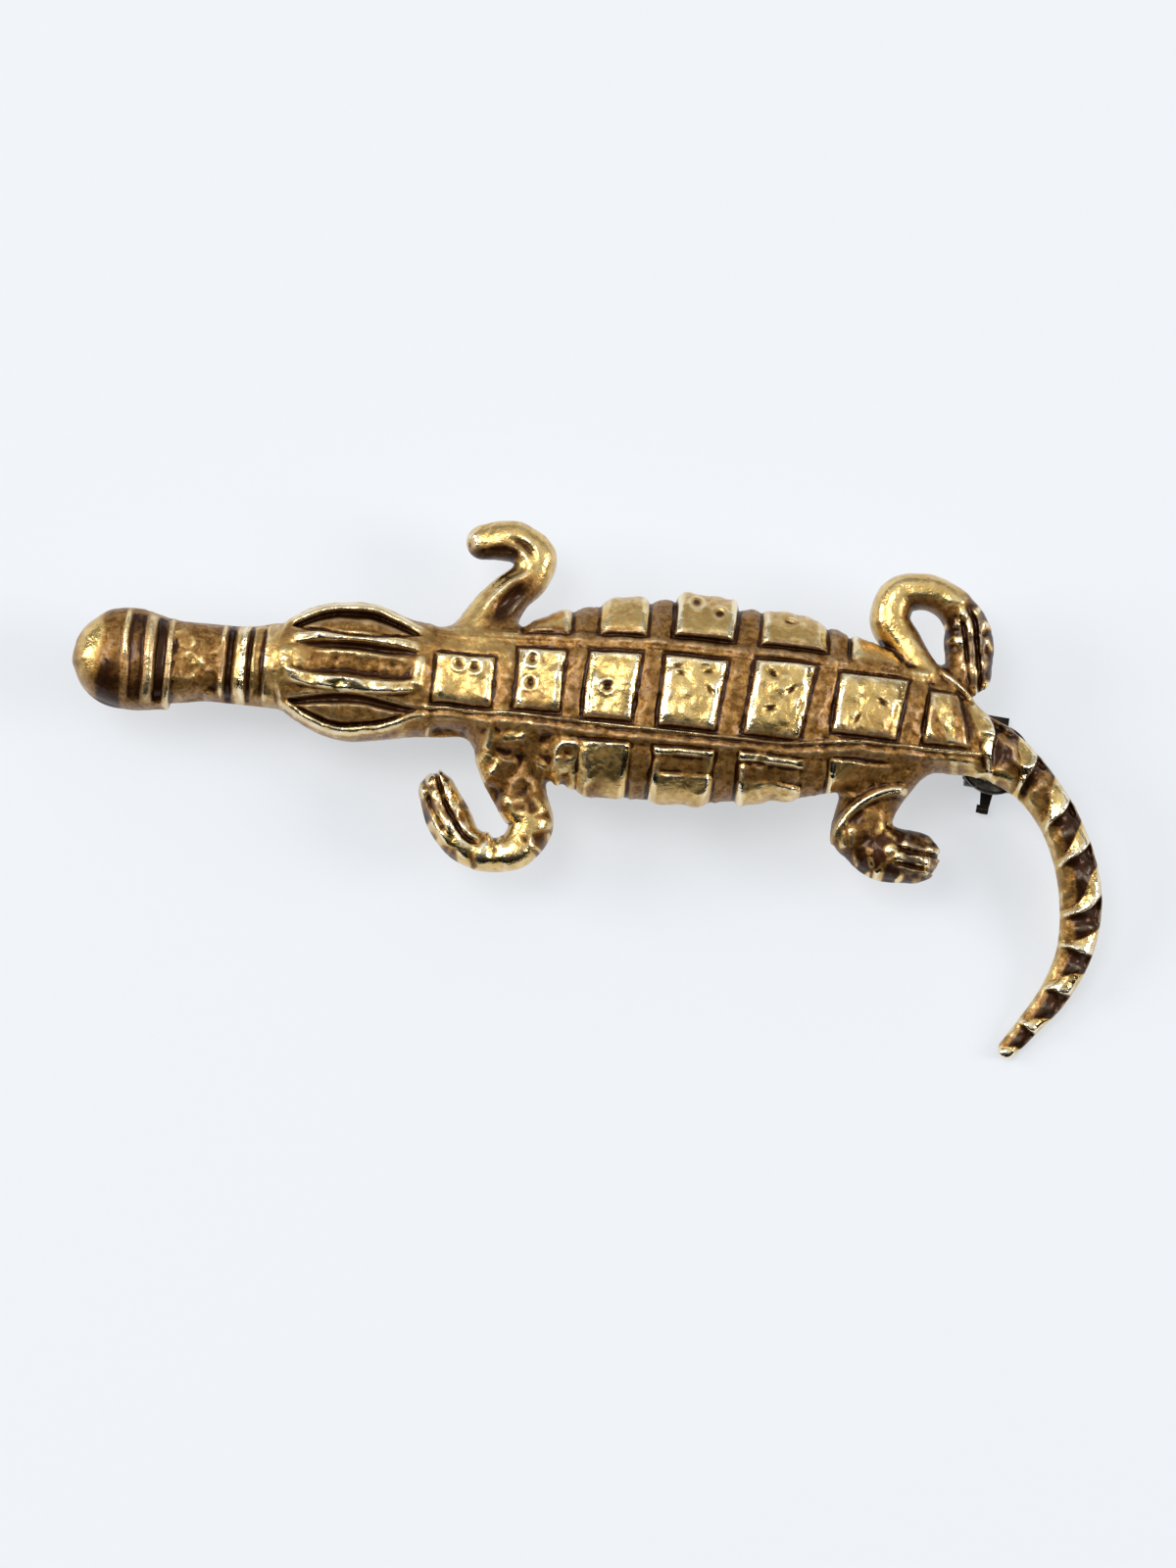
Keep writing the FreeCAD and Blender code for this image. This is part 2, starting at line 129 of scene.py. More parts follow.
RIGHT_FORELEG = [
    (-7.9, 7.60, 2.6, BACK, 7.9),
    (-7.3, 9.90, 1.75, BACK, 7.3),
    (-6.3, 11.40, 1.35, BACK, 6.9),
    (-5.2, 12.60, 1.3, BACK, 6.8),
    (-5.0, 13.80, 1.45, BACK, 6.9),
    (-5.9, 14.70, 1.35, BACK, 6.9),
    (-7.3, 14.87, 1.3, BACK, 6.8),
    (-8.5, 14.68, 1.15, BACK, 6.5),
]
LEFT_FORELEG = [
    (-5.3, 2.20, 3.0, BACK, 8.2),
    (-5.2, -0.20, 2.2, BACK, 7.5),
    (-4.4, -2.20, 1.75, BACK, 7.1),
    (-3.65, -3.95, 1.5, BACK, 6.9),
    (-4.5, -5.55, 1.25, BACK, 6.8),
    (-6.2, -6.05, 1.15, BACK, 6.7),
    (-7.9, -5.45, 1.3, BACK, 6.8),
    (-9.05, -3.95, 1.5, BACK, 6.8),
    (-10.0, -2.15, 1.25, BACK, 6.5),
]
LEFT_THIGH = [
    (19.4, 2.60, 2.6, BACK, 8.0),
    (18.5, 0.00, 2.0, BACK, 7.3),
    (17.9, -2.10, 1.8, BACK, 6.9),
]
LEFT_HIND_FOOT = [
    (17.8, -2.65, 1.5, BACK, 6.7),
    (19.5, -3.50, 1.85, BACK, 6.9),
    (21.55, -3.65, 1.75, BACK, 6.8),
]
RIGHT_HIND_LEG = [
    (21.4, 8.50, 1.10, BACK, 7.5),
    (19.9, 10.30, 1.25, BACK, 7.4),
    (18.8, 12.00, 1.35, BACK, 7.3),
    (19.3, 13.55, 1.3, BACK, 7.2),
    (21.0, 14.0, 1.15, BACK, 7.2),
    (22.7, 13.40, 1.2, BACK, 7.2),
    (23.8, 12.20, 1.45, BACK, 7.1),
    (24.2, 10.60, 1.65, BACK, 6.9),
    (24.55, 9.00, 1.3, BACK, 6.6),
]
HIND_WEB = [
    (22.4, 6.60, 1.5, BACK, 7.3),
    (23.7, 8.60, 1.3, BACK, 6.7),
]

# scale plates: x from, x to, y from, y to, height, lean of the front and the rear edge
BACK_PLATES = [
    (-10.8, -6.95, 3.25, 6.55, 0.26, 0.00, 0.02),
    (-5.45, -2.4, 3.25, 7.3, 0.34, 0.00, 0.03),
    (-0.85, 2.45, 2.95, 7.45, 0.36, 0.015, 0.075),
    (4.1, 8.0, 2.85, 7.5, 0.38, 0.02, 0.11),
    (9.8, 13.6, 2.85, 7.8, 0.38, 0.09, 0.17),
    (15.5, 19.95, 3.55, 7.6, 0.36, 0.05, 0.12),
    (21.6, 24.1, 3.6, 7.1, 0.34, 0.06, -0.25),
]
FLANK_PLATES = [
    (-5.3, -2.1, 8.5, 10.6, 0.20, 0.0, 0.0),
    (-0.3, 2.85, 8.7, 12.2, 0.30, 0.0, 0.0),
    (4.6, 8.6, 8.85, 13.6, 0.62, 0.0, 0.05),
    (10.3, 14.6, 8.85, 12.9, 0.30, 0.0, -0.05),
    (16.3, 19.6, 8.3, 11.2, 0.20, 0.0, 0.0),
    (-0.9, 2.4, -3.2, 1.55, 0.24, 0.0, 0.0),
    (3.85, 7.9, -3.2, 1.55, 0.34, 0.0, 0.0),
    (9.5, 13.75, -3.2, 1.65, 0.34, 0.0, 0.0),
    (15.4, 19.8, -1.6, 1.95, 0.20, 0.0, 0.0),
]
BACK_POLISH, FLANK_POLISH = 0.72, 0.56
BEVEL_SLOPE, BEVEL_WIDTH = 0.6, 0.42
SPINE = 5.35
BODY_CLIMB = ([row[0] for row in BODY], np.gradient([row[4] for row in BODY], [row[0] for row in BODY]))

# a thin raised line on the left of the back plates, and the recesses between it and the flank plates
PLATE_MIDDLES = [(x0 + x1) / 2 for x0, x1, *_ in BACK_PLATES]
LIP_LINE = [y0 - 0.34 for _, _, y0, *_ in BACK_PLATES]
FLANK_LEDGES = ((3.7, 8.0), (9.4, 13.85))

# marks stamped on the plates: x, y of the ring punches; x, y, degrees of the chisel cuts
RING_MARKS = (
    (-4.55, 6.6), (-4.6, 5.05), (0.55, 5.0), (-9.2, 5.9),
    (-8.2, 5.8), (5.9, 11.3), (7.4, 10.7), (10.9, 1.2),
)
CUT_MARKS = (
    (4.9, 6.7, 8), (5.2, 6.3, -6), (6.8, 6.9, 5), (7.0, 6.6, 12), (7.3, 5.3, -50), (11.2, 6.9, -35),
    (12.6, 5.9, 40), (13.2, 5.0, 75), (11.3, 4.6, 10), (17.0, 4.6, 60), (18.6, 5.8, -20), (12.2, 10.6, -15),
)

# the skull: its front edge, its centre line, the middle of the eye sockets, and for each eye its side,
# the place and half width of the crest, the place of the lens, the depth of the gully and the brown
# painted in it as shade
SKULL_FRONT = -21.95
SKULL_Y = 5.12
SOCKET_X = -16.1
EYES = (
    (1, 1.98, 0.46, 2.72, 0.60, 1.0),
    (-1, 1.32, 0.56, 3.05, 0.16, 0.2),
)

# the hollow in the back, under the belly: x from, x to, y from, y to, corner
HOLLOW_OUTLINE = (-1.4, 15.6, 2.2, 8.2, 2.6)
HOLLOW_DEPTH = 1.3


# ---- small helpers on arrays ---------------------------------------------------------------------
def ramp(x, start, end):
    """0 before start, 1 after end, smooth between."""
    t = np.clip((x - start) / (end - start), 0, 1)
    return t * t * (3 - 2 * t)


def between(x, start, end, soft, soft_end=None):
    """0 up to start, 1 once soft past it, and back to 0 at end after a slope of soft_end."""
    return ramp(x, start, start + soft) * (1 - ramp(x, end - (soft_end or soft), end))


def bump(x, width):
    """1 at 0, falling smoothly to 0 at width either side."""
    t = np.clip(np.abs(x) / width, 0, 1)
    return (1 - t * t) ** 2


def smooth_min(a, b, k):
    """The smaller of the two, with the corner rounded where they differ by less than k."""
    h = np.maximum(k - np.abs(a - b), 0) / k
    return np.minimum(a, b) - h * h * k / 4


def smooth_max(a, b, k):
    return -smooth_min(-a, -b, k)


def soft_noise(shape, sigma):
    """Random waves about sigma millimetres across, with a spread of 1."""
    white = np.fft.rfft2(RNG.standard_normal(shape))
    fx = np.fft.fftfreq(shape[0], VOXEL)[:, None]
    fy = np.fft.rfftfreq(shape[1], VOXEL)[None, :]
    waves = np.fft.irfft2(white * np.exp(-2 * (math.pi * sigma) ** 2 * (fx**2 + fy**2)), s=shape)
    return (waves / waves.std()).astype(np.float32)


def facet_noise(cell):
    """Small planes about cell millimetres across, each leaning its own way by a slope of about 1."""
    columns, rows = (int((high[axis] - low[axis]) / cell) + 3 for axis in (0, 1))
    jitter = RNG.uniform(0.1, 0.9, (columns, rows, 2))
    steepest = 1.4
    slope = np.clip(RNG.standard_normal((columns, rows, 2)), -steepest, steepest)
    u, v = (PLAN_X - low[0]) / cell + 1, (PLAN_Y - low[1]) / cell + 1
    nearest = np.full(u.shape, np.inf)
    second = np.full(u.shape, np.inf)
    planes = np.zeros(u.shape)
    for step in range(9):
        i, j = u.astype(int) + step // 3 - 1, v.astype(int) + step % 3 - 1
        dx, dy = u - i - jitter[i, j, 0], v - j - jitter[i, j, 1]
        d = np.hypot(dx, dy)
        closer = d < nearest
        second = np.where(closer, nearest, np.minimum(second, d))
        planes = np.where(closer, (slope[i, j, 0] * dx + slope[i, j, 1] * dy) * cell, planes)
        nearest = np.minimum(nearest, d)
    return (planes * ramp(second - nearest, 0, 0.4)).astype(np.float32)


def curve_through(rows, step=0.12):
    """The rows' columns along a smooth curve through the first two, which are x and y."""
    rows = np.array(rows, float)
    t = np.r_[0, np.cumsum(np.hypot(*np.diff(rows[:, :2], axis=0).T))]
    slope = np.gradient(rows, t, axis=0)
    q = np.arange(0, t[-1] + step / 2, step)
    i = np.clip(np.searchsorted(t, q, side="right") - 1, 0, len(t) - 2)
    h = (t[i + 1] - t[i])[:, None]
    u = (q - t[i])[:, None] / h
    near = (1 + 2 * u) * (1 - u) ** 2 * rows[i] + u * (1 - u) ** 2 * h * slope[i]
    far = u * u * (3 - 2 * u) * rows[i + 1] + u * u * (u - 1) * h * slope[i + 1]
    return q, near + far


# ---- the field -----------------------------------------------------------------------------------
low = np.array(cad_low) / MM - MARGIN
high = np.array(cad_high) / MM + MARGIN
counts = np.ceil((high - low) / VOXEL).astype(int)
XS, YS, ZS = (low[i] + VOXEL * np.arange(counts[i]) for i in range(3))
PLAN_X, PLAN_Y = (a.astype(np.float32) for a in np.meshgrid(XS, YS, indexing="ij"))
field = np.full(tuple(counts), BAND, np.float32)

# first array over second: the brown seen from above, 0.3 where no limb is near, with painted shade and
# highlight in places
patina_and_painted_light = np.full(PLAN_X.shape, 3e-4, np.float32)
patina_share = np.full(PLAN_X.shape, 1e-3, np.float32)

coarse = soft_noise(PLAN_X.shape, 0.9)
medium = soft_noise(PLAN_X.shape, 0.38)
fine = soft_noise(PLAN_X.shape, 0.2)
facets = facet_noise(1.25)
chips = facet_noise(0.62)
crumple = 0.5 - np.abs(0.8 * coarse + 0.45 * medium)      # sharp creases between soft swells


class Limb:
    """A domed sweep along a line.

    For each point of the plan near it: s and side are its places along and across the line, off its
    distance from it, half, low and top the sweep's sizes there, and coarse to crumple the random waves.
    """

    def __init__(self, rows, fullness=2.3, reach=1.6):
        along, samples = curve_through(rows)
        spread = samples[:, 2].max() + reach
        x0, y0 = samples[:, :2].min(0) - spread
        x1, y1 = samples[:, :2].max(0) + spread
        ix = slice(*np.clip(np.searchsorted(XS, [x0, x1]), 0, len(XS)))
        iy = slice(*np.clip(np.searchsorted(YS, [y0, y1]), 0, len(YS)))
        self.window = (ix, iy)
        self.x, self.y = PLAN_X[ix, iy], PLAN_Y[ix, iy]
        self.coarse, self.medium, self.fine = coarse[ix, iy], medium[ix, iy], fine[ix, iy]
        self.facets, self.chips, self.crumple = facets[ix, iy], chips[ix, iy], crumple[ix, iy]
        best = np.full(self.x.shape, np.inf, np.float32)
        which = np.zeros(self.x.shape, np.int32)
        for i, (sx, sy) in enumerate(samples[:, :2]):
            d = (self.x - sx) ** 2 + (self.y - sy) ** 2
            closer = d < best
            best[closer] = d[closer]
            which[closer] = i
        tangent = np.gradient(samples[:, :2], axis=0)
        tangent /= np.linalg.norm(tangent, axis=1, keepdims=True)
        dx, dy = self.x - samples[which, 0], self.y - samples[which, 1]
        side = tangent[which, 0] * dy - tangent[which, 1] * dx
        forward = tangent[which, 0] * dx + tangent[which, 1] * dy
        self.off = np.sqrt(best)
        self.side = side.astype(np.float32)
        self.s = (along[which] + forward).astype(np.float32)
        self.half, self.low, self.top = (samples[which, c].astype(np.float32) for c in (2, 3, 4))
        self.length = along[-1]
        self.fullness = fullness
        self.relief = np.zeros_like(self.x)
        self.cut = np.full(self.x.shape, -np.inf, np.float32)      # the limb ends where this is above 0

    def add(self, blend, brown):
        """Joins the limb to the field over blend millimetres. brown is its patina and painted light, as a
        plan array.
        """
        under, under_fullness = 0.3, 1.15          # how high the widest place is, how full it is below
        n = self.fullness
        height = self.top - self.low
        centre = self.low + under * height
        ix, iy = self.window
        z = ZS.astype(np.float32)[None, None, :]
        rise = z - centre[..., None]
        half_height = np.where(
            rise > 0, (self.top - centre)[..., None], (under_fullness * under * height)[..., None]
        )
        off = self.off[..., None]
        k = ((off / self.half[..., None]) ** n + (np.abs(rise) / half_height) ** n) ** (1 / n)
        k = np.maximum(k, 1e-3)
        d = np.sqrt(off**2 + rise**2) * (1 - 1 / k)
        upper_part = ramp(rise, -0.1, 0.6)
        d = np.maximum(d - self.relief[..., None] * upper_part, self.cut[..., None])
        back_level = self.low + hollow[ix, iy] + back_noise[ix, iy]
        d = smooth_max(d, back_level[..., None] - z, BACK_ROUNDING)
        field[ix, iy] = smooth_min(field[ix, iy], np.clip(d, -BAND * 2, BAND), blend)
        weight = np.exp(-np.clip(self.off / self.half, 0, 3) ** 4).astype(np.float32)
        patina_and_painted_light[ix, iy] += brown * weight
        patina_share[ix, iy] += weight


# ---- the back: slightly uneven, hollowed under the belly, flat where the fittings sit ------------
def plate_distance(x, y, x0, x1, y0, y1, corner):
    """Signed distance to a round-cornered rectangle, negative inside."""
    qx = np.abs(x - (x0 + x1) / 2) - (x1 - x0) / 2 + corner
    qy = np.abs(y - (y0 + y1) / 2) - (y1 - y0) / 2 + corner
    return np.hypot(np.maximum(qx, 0), np.maximum(qy, 0)) + np.minimum(np.maximum(qx, qy), 0) - corner


hollow = HOLLOW_DEPTH * ramp(-plate_distance(PLAN_X, PLAN_Y, *HOLLOW_OUTLINE), -0.2, 1.4)
back_noise = 0.05 * coarse + 0.03 * medium
for node in ("hinge_solder", "catch_solder"):
    corner_low, corner_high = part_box(node)
    centre = (corner_low + corner_high) / 2 / MM
    radius = (corner_high.x - corner_low.x) / 2 / MM
    back_noise *= ramp(np.hypot(PLAN_X - centre.x, PLAN_Y - centre.y), radius + 0.1, radius + 0.9)


# ---- head ----------------------------------------------------------------------------------------
def add_nose():
    """A round nose, two raised bands with a groove behind each, painted shade below and a polished painted
    highlight in front.
    """
    front_band, rear_band = -31.15, -29.6
    cut_at = -28.15                                  # nothing of the nose's round end shows behind this
    nose = Limb(NOSE, fullness=2.6)
    x = nose.x + 0.04 * nose.coarse
    on_top = 1 - 0.9 * ramp(nose.off / nose.half, 0.72, 0.98)
    patchy = ramp(nose.coarse, -0.9, 0.5)
    bands = 0.16 * patchy * bump(x - front_band, 0.28) + 0.10 * bump(x - rear_band, 0.36)
    bands -= 0.20 * between(x, -31.0, -29.9, 0.15) + 0.50 * between(x, -29.3, -28.5, 0.15)
    nose.relief += 0.06 * nose.coarse + 0.02 * nose.medium + 0.05 * nose.facets + bands * on_top
    nose.cut[:] = x - cut_at
    # the animal's left side of the nose is browned more: painted shade
    shaded_left_side = ramp(4.9 - nose.y, 0.0, 1.8)
    stain_and_shade = between(nose.x, -33.3, -31.2, 1.0, 0.25) * (0.35 + 0.9 * shaded_left_side)
    stain_and_shade += on_top * (0.85 * between(x, -31.0, -29.85, 0.2, 0.15) + 1.2 * bump(x + 28.9, 0.36))
    stain_and_shade -= on_top * 0.7 * (patchy * bump(x - front_band, 0.25) + bump(x - rear_band, 0.3))
    # a polished patch on the front of the dome, toward its right side, placed as a painted highlight
    polish = bump(np.hypot(nose.x + 33.4, (nose.y - 5.6) / 1.9), 1.3)
    nose.add(0.16, np.clip(0.74 + stain_and_shade - polish + 0.15 * nose.medium, 0, 1.6))


def add_snout():
    """A narrow snout: a creased saddle, then a thin ring, a wide one that rises behind and a thin one."""
    first_ring, groove, wide_ring, last_ring = -24.75, -24.28, -23.52, -22.75
    snout = Limb(SNOUT, fullness=2.7)
    x = snout.x + 0.03 * snout.coarse
    on_top = 1 - 0.8 * ramp(snout.off / snout.half, 0.7, 1.0)
    patchy = ramp(snout.medium, -0.6, 0.9)
    ring = 0.42 * np.clip((x + 23.92) / 0.68, 0, 1) * (1 - ramp(x, -23.24, -23.10))
    ring += 0.15 * patchy * bump(x - first_ring, 0.16) + 0.13 * bump(x - last_ring, 0.16)
    ring -= 0.40 * bump(x - groove, 0.42) + 0.34 * between(x, -23.24, -21.95, 0.19, 0.15)
    saddle = between(x, -28.2, -24.8, 0.3)
    creases = 0.10 * snout.crumple + 0.12 * snout.facets + 0.06 * snout.chips
    snout.relief += 0.03 * snout.medium + 0.02 * snout.fine + 0.03 * snout.chips - 0.10
    snout.relief += ring * on_top + saddle * creases
    ringed = bump(x - wide_ring, 0.5) + 0.7 * patchy * bump(x - first_ring, 0.2) + 0.8 * bump(x + 28.2, 0.3)
    polish = 0.75 * saddle * ramp(snout.crumple + 0.8 * snout.chips, 0.15, 0.5)
    brown = 0.95 - 0.9 * np.clip(ringed, 0, 1) - polish + 0.6 * bump(x - groove, 0.4)
    snout.add(0.16, brown)


def leaf_distance(x, y, half_length, half_width):
    """Signed distance to a leaf with its points on X, negative inside."""
    radius = (half_length**2 + half_width**2) / (2 * half_width)
    return np.hypot(x, np.abs(y) + radius - half_width) - radius


def add_skull():
    """A leaf-shaped socket with a lens on each side, a crest beside each, a knob in front, a bar behind."""
    skull = Limb(SKULL, fullness=2.7)
    x = skull.x + 0.05 * skull.coarse
    y = skull.y + 0.05 * skull.coarse
    relief = 0.03 * skull.medium + 0.02 * skull.fine + 0.04 * skull.facets
    brown = np.full(x.shape, 0.6, np.float32)
    along = x - SOCKET_X
    for side, crest_at, crest_half, lens_at, gully_depth, gully_shade in EYES:
        across = (y - SKULL_Y) * side
        bend = 0.02 * along**2
        leaf = leaf_distance(along, across - 2.88 + bend, 4.3, 0.98)
        lens = leaf_distance(along, across - lens_at + bend, 3.9, 0.66)
        rim = bump(leaf - 0.33, 0.42) * ramp(across, 2.4, 3.2)
        relief += 0.20 * rim
        relief -= 0.62 * ramp(-leaf, -0.06, 0.2) * ramp(lens, -0.25, 0.1)
        relief -= ramp(-lens, -0.1, 0.25) * (0.20 - 0.06 * skull.medium)
        inner_side = crest_half - np.abs(across - crest_at + 0.024 * along**2)
        ridge = ramp(inner_side, 0, 0.26) * between(x, -20.8, -11.6, 1.2, 0.8)
        relief += ridge * (0.30 + 0.12 * skull.facets + 0.04 * skull.medium)
        gully = bump(across - crest_at + crest_half + 0.24 + 0.016 * along**2, 0.40) * bump(x + 15.6, 4.2)
        relief -= gully_depth * gully
        socket = ramp(-leaf, -0.05, 0.15) * (0.7 * ramp(lens, -0.2, 0.1) + 0.25)
        # the right eye's gully is browned far more than the left's: painted shade
        brown += gully_shade * gully + socket - 0.6 * ridge - (0.5 - 0.25 * skull.medium) * rim
    trough = plate_distance(x, y, -19.3, -12.2, 4.4, 5.85, 0.6)
    relief -= 0.16 * ramp(-trough, -0.15, 0.45)
    relief += ramp(-trough, -0.1, 0.3) * (0.03 * skull.coarse + 0.02 * skull.fine)
    brown += 0.3 * ramp(-trough, -0.1, 0.3)
    knob = np.hypot((x + 20.3) / 1.25, (y - 5.05) / 1.5)
    relief += bump(knob, 1.25) * (0.30 + 0.10 * skull.medium + 0.22 * skull.chips)
    brown -= bump(knob, 1.35)
    bar = plate_distance(x, y, -12.05, -11.6, 4.2, 6.1, 0.2)
    relief += 0.30 * ramp(-bar, -0.3, 0.1)
    brown -= 0.7 * ramp(-bar, -0.3, 0.1)
    depth = x - SKULL_FRONT
    wedge = 0.48 + 0.30 * np.abs(skull.y - SKULL_Y)
    relief -= 0.56 * np.clip(wedge - depth, 0, wedge) + 3.0 * ramp(-depth, 0.0, 0.15)
    relief -= 0.8 * ramp(x, -11.5, -10.2)
    brown -= 1.2 * ramp(wedge - depth, -0.1, 0.15)
    skull.relief += relief
    skull.add(0.22, np.clip(brown, 0, 1.4))


# ---- belly ---------------------------------------------------------------------------------------
def add_body():
    """The belly with its scale plates, the rails beside them and the creased left shoulder."""
    body = Limb(BODY, fullness=2.4)
    shake = 0.035 * body.coarse
    x, y = body.x + shake, body.y - shake
    climb = np.interp(x, *BODY_CLIMB)
    relief = 0.025 * body.medium + 0.02 * body.fine
    brown = np.full(x.shape, 0.95, np.float32)
    covered, level = np.zeros_like(x), np.zeros_like(x)
    plates = [(*row, BACK_POLISH) for row in BACK_PLATES] + [(*row, FLANK_POLISH) for row in FLANK_PLATES]
    for x0, x1, y0, y1, height, front_lean, rear_lean, polish in plates:
        middle = (y0 + y1) / 2
        from_front = x - x0 - front_lean * (y - middle)
        to_rear = x1 + rear_lean * (y - middle) - x
        ends = np.minimum(from_front, to_rear)
        sides = np.minimum(y - y0, y1 - y)
        edge = np.minimum(ends, sides)
        inside = ramp(edge, -0.05, 0.12)
        lift = height + 0.06
        bevel = np.minimum(from_front * (BEVEL_SLOPE - climb), to_rear * (BEVEL_SLOPE + climb))
        bevel = lift + np.minimum(bevel - BEVEL_WIDTH * BEVEL_SLOPE, 0)
        bevel *= np.clip(ends / 0.1 + 0.3, 0, 1)
        top = np.clip(smooth_min(bevel / lift, np.clip(sides / 0.18 + 0.2, -1, 1), 0.08), 0, 1)
        tilt = RNG.uniform(-0.03, 0.03) * (x - (x0 + x1) / 2) + RNG.uniform(-0.03, 0.03) * (y - middle)
        groove = 0.05 + 0.10 * ramp(body.coarse, -0.3, 1.0) + 0.06 * ramp(y0 + 0.4 - y, 0, 0.2)
        # each plate darkens along its left side, with a slight dip: painted shade
        left_edge_shade = bump(sides, 0.6) * inside * ramp(middle - y, 0, 1)
        relief += top * (lift + tilt) - groove * bump(edge + 0.10, 0.20) - 0.08 * left_edge_shade
        on_bevel = ramp(ends, 0.02, 0.1) * (1 - ramp(ends, 0.38, 0.5)) * ramp(sides, 0.1, 0.3)
        brown += 0.9 * left_edge_shade - polish * inside - 0.5 * on_bevel
        covered = np.maximum(covered, inside)
        level = np.maximum(level, ramp(ends, 0.34, 0.50) * (sides > 0))
    relief += level * (0.03 * body.coarse + 0.02 * body.medium + 0.05 * body.facets + 0.02 * body.chips)
    bare = 1 - covered
    for (_, gap_start, *_, lean), (gap_end, *_) in zip(BACK_PLATES[:-1], BACK_PLATES[1:]):
        across = x - (gap_start + gap_end) / 2 - lean * (y - SPINE)
        relief += 0.16 * bump(across + 0.08, 0.95) * bare
    lip = np.interp(x, PLATE_MIDDLES, LIP_LINE)
    rails = ((8.3, 0.5, 0.20), (lip - 0.62, 0.5, 0.20), (lip, 0.16, 0.22), (7.86, 0.12, 0.10))
    for place, width, height in rails:
        relief += height * bump(y - place, width) * bare
    # the thin lip is paled in patches, partly wear and partly a painted highlight
    brown -= 0.7 * bump(y - lip, 0.18) * bare * ramp(body.coarse, -0.9, 0.2)
    relief += bare * (0.05 * body.facets + 0.03 * body.medium) + stamped_marks(x, y)
    shoulder = ramp(-x, -1.6, 0.2) * ramp(-y, -2.4, -1.2)
    relief += shoulder * (0.06 + 0.12 * body.facets + 0.26 * body.crumple)
    brown += shoulder * (0.90 - 0.65 * ramp(body.crumple, -0.1, 0.4) - brown)
    for x0, x1 in FLANK_LEDGES:
        ledge = between(x, x0, x1, 0.2) * ramp(1.12 - y, -0.08, 0.10) * ramp(y + 0.05, -0.22, 0.16)
        relief -= 0.20 * ledge * (1 + 0.4 * body.medium)
        brown += 0.70 * ledge
    body.relief += relief
    body.add(0.9, np.clip(brown, 0, 1.5))


def stamped_marks(x, y):
    """Ring punches and short chisel cuts on some of the plates."""
    marks = np.zeros_like(x)
    for px, py in RING_MARKS:
        r = np.hypot(x - px, y - py)
        marks += 0.07 * bump(r - 0.52, 0.2) - 0.15 * bump(r, 0.42)
    for px, py, angle in CUT_MARKS:
        turn = math.radians(angle)
        u = (x - px) * math.cos(turn) + (y - py) * math.sin(turn)
        v = -(x - px) * math.sin(turn) + (y - py) * math.cos(turn)
        marks += bump(u, 0.62) * (0.05 * bump(v - 0.28, 0.22) - 0.13 * bump(v, 0.22))
    return marks


# ---- tail ----------------------------------------------------------------------------------------
def add_tail():
    """Saw-tooth ridges across the tail, wide outside and thin inside, and a valley behind each, with
    painted shade outside.
    """
    pitch, first, lean = 3.0, 2.35, math.tan(math.radians(32))
    tail = Limb(TAIL, fullness=2.1)
    outward = tail.side / tail.half
    shift = tail.s - first + tail.side * lean + 0.22 * tail.coarse
    near = shift - pitch * np.round(shift / pitch)
    wide = 0.20 + 0.50 * ramp(outward, -0.7, 0.7)
    ridge = np.clip((near + wide) / (2 * wide), 0, 1) * (1 - ramp(near, wide, wide + 0.16))
    on_ridge = ramp(near, -wide - 0.05, -wide + 0.15) * (1 - ramp(near, wide, wide + 0.12))
    valley = (1 - on_ridge) * ramp(outward, -0.8, -0.1)
    behind = bump(np.mod(near - wide, pitch) - 0.45, 0.9)
    start = ramp(tail.s, 0.8, 1.8)
    size = (0.55 + 0.45 * ramp(tail.length - tail.s, 0, 12)) * start
    rim = 1 - ramp(outward, 0.70, 0.98)
    teeth = ramp(outward, -1.0, -0.4) * (0.50 * ridge - 0.16) - 0.30 * valley * behind
    lumpy = between(tail.s, 0.6, 9.5, 1.2, 3.0) * rim
    rough = 0.03 * tail.medium + 0.02 * tail.fine + 0.03 * tail.chips
    tail.relief += size * rim * teeth + 0.06 * on_ridge * tail.facets * start
    tail.relief += 0.26 * lumpy * tail.crumple + rough * (1 - 0.75 * on_ridge)
    shade = 0.60 + 0.20 * ramp(outward, -1.0, -0.3) + 0.2 * tail.medium
    # the outer valleys are browned to soot: painted shade
    dark = 1.4 * valley * ramp(outward, -0.6, 0.2) * (1 - 0.6 * lumpy) * (1 - ramp(outward, 0.85, 1.0))
    brown = shade + dark - 0.5 * lumpy * ramp(tail.crumple, 0.0, 0.4) - 1.3 * on_ridge
    tail.add(0.5, np.clip(brown, -0.3, 1.8))


# ---- legs ----------------------------------------------------------------------------------------
def toe_relief(limb, start, grooves, depth=0.36):
    """Grooves along the end of a foot that part the toes, and a knuckle on each toe."""
    on = ramp(limb.s, start, start + 1.0)
    across = limb.side + 0.12 * limb.coarse
    relief = np.zeros_like(across)
    for groove in grooves:
        relief -= depth * bump(across - groove, 0.28) * on
    knuckles = 0.5 + 0.5 * np.cos(limb.s * 4.2 + across * 3)
    return relief + 0.10 * knuckles * on * (1 - ramp(np.abs(limb.side) / limb.half, 0.6, 0.9))


